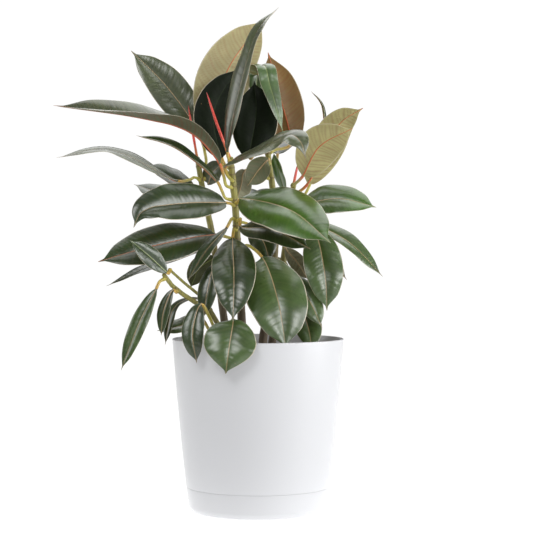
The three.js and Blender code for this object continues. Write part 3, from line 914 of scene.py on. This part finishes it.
def leaf_sections(leaf, settings, rng):
    """Fine sections of a leaf, the marks, vein and hair values that its materials read, and
    how many of the sections belong to its stalk."""
    places = leaf_rows(leaf)
    line = spline(leaf["knots"], leaf["line"], places)
    frames = leaf["knots"][:-1]
    reached = np.minimum(places, frames[-1])
    along = unit(np.gradient(line, places, axis=0))
    normal = spline(frames, leaf["normal"], reached)
    normal = unit(normal - along * np.sum(normal * along, axis=1, keepdims=True))
    side = np.cross(normal, along)

    blade_length = leaf["knots"][-1] - leaf["collar"]
    s = ((places - leaf["collar"]) / blade_length)[:, None]
    inside = np.clip(s, 0.0, 1.0)
    half = leaf["half"] * blade_outline(inside, leaf["taper"])
    open_up = eased(s, -0.004, 0.03)
    q = np.concatenate([HALF_COLUMNS[::-1], -HALF_COLUMNS[1:]])[None, :]
    size = np.abs(q)

    soft = np.sqrt(size**2 + 0.03**2) - 0.03
    x = half * q * math.cos(leaf["steep"])
    surface = half * (soft * math.sin(leaf["steep"]) + leaf["roll"] * size**2)
    arched = settings.pillow * half * np.sin(np.pi * size**0.85)
    surface = surface + arched * eased(inside, 0.02, 0.2) * eased(1 - inside, 0.03, 0.2)
    for waves, weight in ((1.7, 1.0), (3.3, 0.55)):
        for turn in (1, -1):
            phase = rng.uniform(0, 2 * np.pi)
            mine = np.where(q * turn > 0, 1.0, 0.0)
            surface = surface + mine * settings.wave * weight * half * size**2 * np.sin(
                2 * np.pi * waves * inside + phase)

    off = np.abs(x)
    forward = off * VEIN_SLANT + half * VEIN_HOOK * size**3
    phase = (inside * blade_length - forward) / settings.vein_spacing + rng.random()
    jitter = 0.16 * np.sin(2.4 * phase + rng.uniform(0, 6)) + 0.1 * np.sin(
        5.1 * inside * 9 + np.sign(q) * 2)
    near = np.abs((phase + jitter) % 1.0 - 0.5)
    vein = np.exp(-((near / VEIN_WIDTH) ** 2)) * eased(size, 0.02, 0.1)
    vein = vein * eased(1 - size, 0.03, 0.16) * eased(inside, 0.01, 0.06)
    vein = vein * eased(1 - inside, 0.06, 0.14)
    swell = 0.35 * np.cos(2 * np.pi * (phase * 0.5 + 0.2 * np.sin(inside * 17.0))) * vein_zone(
        size, inside)
    depth = settings.vein_depth * np.clip(leaf["half"] / FULL_WIDTH, 0.4, 1.0)

    skin = settings.thickness / 2 * np.sqrt(np.clip(1 - size**8, 0.0, 1.0))
    skin = skin * np.clip(half / (3 * MM), 0.3, 1.0)
    rib = leaf["petiole"] * (0.92 - 0.72 * inside**0.8)
    groove = 0.34 * MM * np.exp(-((off / (1.5 * MM)) ** 2)) * (1 - 0.6 * inside)
    cord = 0.22 * MM * np.exp(-((off / (0.55 * MM)) ** 2)) * (1 - 0.5 * inside)
    upper = surface + skin - depth * (vein - swell) - groove + cord
    keel = rib * 0.9 * np.exp(-((off / (0.45 * rib + 0.25 * MM)) ** 4))
    keel = keel * eased(1 - inside, 0.0, 0.05)
    under = surface - skin - depth * (vein - swell) - keel

    stalk = leaf["petiole"]
    away = places[:, None]
    radius = stalk * (1 + 0.42 * np.exp(-((away / (3.2 * MM)) ** 2)))
    turn = np.linspace(np.pi / 2, -np.pi / 2, q.shape[1])[None, :]
    round_x = radius * np.sin(turn)
    arch = np.sqrt(np.clip(radius**2 - round_x**2, 0, None))
    channel = 0.6 * radius * np.exp(-((round_x / (0.42 * radius)) ** 2))
    channel = channel * eased(away, 1 * MM, 8 * MM)
    flat_x = round_x + (x - round_x) * open_up
    upper = (arch - channel) + (upper - arch + channel) * open_up
    under = -arch + (under + arch) * open_up

    middle = line[:, None] + side[:, None] * flat_x[..., None]
    top, bottom = (middle + normal[:, None] * lift[..., None] for lift in (upper, under))
    back = bottom[:, 1:-1][:, ::-1]
    sections = np.concatenate([top, back], axis=1)
    sections[0] -= leaf["outward"] * FOOT_SINK

    def both(values):
        values = np.broadcast_to(values, upper.shape)
        return np.concatenate([values, values[:, 1:-1][:, ::-1]], axis=1).reshape(-1)

    share_along = np.where(s < 0, (places[:, None] - leaf["collar"]) / (30 * MM), s)
    marks = np.stack([both(share_along), both(flat_x / MM), both(q * open_up)], axis=1)
    hair = both((phase * 4.0) % 64.0)
    return sections, marks, both(vein), hair, int(np.sum(places < leaf["collar"] - 1e-9))


class PLANT_OT_leaves(Operator):
    """Grow every leaf with its stalk, midrib, side veins and thin pale margin"""

    bl_idname = "rubber_plant.leaves"
    bl_label = "Leaves"

    def execute(self, context):
        settings = context.scene.rubber_leaf
        margin = tuple(settings.margin)
        uppers, unders, stalks = {}, {}, {}
        for node in LEAVES:
            upper, under, rib, back_rib = LOOK_OF.get(node, PLAIN_LOOK).split()
            flushed = node in FLUSHED
            if (upper, rib) not in uppers:
                uppers[upper, rib] = upper_finish(
                    f"leaf_{upper}_{rib}", UPPER_TONES[upper], RIB_TONES[rib], margin,
                    DULL if upper == "black" else WAXED)
            if (under, back_rib) not in unders:
                unders[under, back_rib] = under_finish(
                    f"underside_{under}_{back_rib}", UNDER_TONES[under], RIB_TONES[back_rib],
                    margin)
            if flushed not in stalks:
                blush = tuple(settings.petiole_blush)
                calm = tuple(0.7 * a + 0.3 * b for a, b in zip(settings.petiole, blush))
                stalks[flushed] = petiole_finish(
                    "leaf_stalk_flushed" if flushed else "leaf_stalk", tuple(settings.petiole),
                    blush if flushed else calm)
            self.grow(node, settings, (uppers[upper, rib], unders[under, back_rib],
                                       stalks[flushed]))
        return {"FINISHED"}

    def grow(self, node, settings, materials):
        leaf = measured_leaf(node)
        rng = random.Random(node)
        sections, marks, vein, hair, stalk_rows = leaf_sections(leaf, settings, rng)
        rows, sides, _ = sections.shape
        points, faces = lofted(sections, leaf["root"] - leaf["outward"] * FOOT_TIP,
                               leaf["line"][-1])
        top = 2 * (len(HALF_COLUMNS) - 1)
        slots = [2 if row < stalk_rows else int(k >= top)
                 for row in range(rows - 1) for k in range(sides)]
        slots += [2] * sides + [int(k >= top) for k in range(sides)]
        piece = piece_of(node + "_blade", points, faces, materials, slots)
        mark(piece, "blade", np.vstack([marks, [-1, 0, 0], [1, 0, 0]]))
        mark(piece, "vein", np.append(vein, [0, 0]))
        mark(piece, "hair", np.append(hair, [0, 0]))
        hand_over(piece, "leaf", node)


# ---- Stage ----


LENS = 117.32  # focal length in millimetres, on a 36 mm sensor
CAMERA_PLACE = (0.01275, -2.605, 0.4064)
CAMERA_TILT = 0.874  # degrees below the horizontal
# Each square light: its place, its side, the height it is aimed at and its spread in degrees.
LIGHTS = {
    "key": ((2.17, -0.42, 0.75), 1.7, 0.38, 180.0),
    "top": ((0.1, 0.45, 1.85), 2.0, 0.38, 180.0),
    "front": ((-0.7, -1.75, 1.9), 1.6, 0.7, 42.0),
    "side": ((1.35, -1.75, 1.25), 1.1, 0.68, 36.0),
    "fill": ((-1.97, 0.3, 0.8), 1.1, 0.38, 180.0),
}
BACKDROP = 1.02  # brightness of the white behind the plant
FLOOR_DROP = 0.2 * MM  # the floor lies this far under the saucer's foot
FLOOR_GLOW = (0.1, 0.35, 1.6, 1.08)  # from this distance to that, the floor's own light
FLOOR_RINGS = (0.3, 0.8, 2.0, 5.0)


class PLANT_OT_stage(Operator):
    """Set the camera, the soft lights and the pale floor"""

    bl_idname = "rubber_plant.stage"
    bl_label = "Stage"

    def execute(self, context):
        stage = context.scene.rubber_stage
        self.camera()
        self.world(stage.ambient)
        for name, (place, size, aim, spread) in LIGHTS.items():
            self.light(name + "_light", place, size, getattr(stage, name), aim, spread)
        self.floor(tuple(stage.floor))
        context.scene.view_settings.view_transform = "Standard"
        return {"FINISHED"}

    def camera(self):
        lens = bpy.data.cameras.new("studio_camera")
        lens.sensor_width = 36.0
        lens.lens = LENS
        camera = placed("studio_camera", lens)
        camera.location = CAMERA_PLACE
        camera.rotation_euler = (math.radians(90.0 - CAMERA_TILT), 0.0, 0.0)
        bpy.context.scene.camera = camera

    def light(self, name, place, size, watts, height, spread):
        lamp = bpy.data.lights.new(name, "AREA")
        lamp.shape, lamp.size, lamp.energy = "SQUARE", size, watts
        lamp.spread = math.radians(spread)
        made = placed(name, lamp)
        made.location = place
        aim = Vector((0.0, 0.0, height)) - Vector(place)
        made.rotation_euler = aim.to_track_quat("-Z", "Y").to_euler()
        made.visible_camera = False

    def world(self, ambient):
        """The backdrop is white to the camera, and lights the plant more weakly."""
        world = bpy.data.worlds.new("studio_world")
        world.use_nodes = True
        tree = world.node_tree
        background = tree.nodes["Background"]
        background.inputs["Color"].default_value = (1.0, 1.0, 1.0, 1.0)
        seen = tree.nodes.new("ShaderNodeLightPath").outputs["Is Camera Ray"]
        strength = tree.nodes.new("ShaderNodeMapRange")
        strength.inputs["To Min"].default_value = ambient
        strength.inputs["To Max"].default_value = BACKDROP
        tree.links.new(seen, strength.inputs["Value"])
        tree.links.new(strength.outputs[0], background.inputs["Strength"])
        bpy.context.scene.world = world

    def floor(self, tone):
        """A pale disc that gives off light of its own, most of all near the planter's foot."""
        finish = Finish("pale_floor", Roughness=0.9, Specular_IOR_Level=0.1,
                        Base_Color=(*brighter(tone, 0.16), 1.0),
                        Emission_Color=(*tone, 1.0))
        reach = finish.node("VectorMath", {0: finish.place()}, operation="LENGTH").outputs["Value"]
        finish.link(finish.band(reach, *FLOOR_GLOW), "Emission Strength")
        sides = 96
        points = [(0.0, 0.0, 0.0)]
        for radius in FLOOR_RINGS:
            points += circle(radius, 0.0, sides)
        floor = piece_of("floor", points, disc_faces(len(FLOOR_RINGS), sides), [finish.material])
        floor.location.z = -FLOOR_DROP


# ---- Add-on ----

SETTINGS = {
    "rubber_stage": StageSettings,
    "rubber_planter": PlanterSettings,
    "rubber_soil": SoilSettings,
    "rubber_stem": StemSettings,
    "rubber_leaf": LeafSettings,
}
OPERATORS = (PLANT_OT_stage, PLANT_OT_planter, PLANT_OT_soil, PLANT_OT_stems, PLANT_OT_sheaths,
             PLANT_OT_leaves)


class PLANT_PT_sidebar(Panel):
    bl_label = "Rubber Plant"
    bl_idname = "PLANT_PT_sidebar"
    bl_space_type = "VIEW_3D"
    bl_region_type = "UI"
    bl_category = "Rubber Plant"

    def draw(self, context):
        for operator in OPERATORS:
            self.layout.operator(operator.bl_idname)
        for name, group in SETTINGS.items():
            box = self.layout.box()
            for field in group.__annotations__:
                box.prop(getattr(context.scene, name), field)


CLASSES = (*SETTINGS.values(), *OPERATORS, PLANT_PT_sidebar)


def register():
    for made in CLASSES:
        bpy.utils.register_class(made)
    for name, group in SETTINGS.items():
        setattr(bpy.types.Scene, name, PointerProperty(type=group))


def unregister():
    for name in SETTINGS:
        delattr(bpy.types.Scene, name)
    for made in reversed(CLASSES):
        bpy.utils.unregister_class(made)


def main():
    register()
    bpy.ops.rubber_plant.stage()
    bpy.ops.rubber_plant.planter()
    bpy.ops.rubber_plant.soil()
    bpy.ops.rubber_plant.stems()
    bpy.ops.rubber_plant.sheaths()
    bpy.ops.rubber_plant.leaves()


if __name__ == "__main__":
    main()
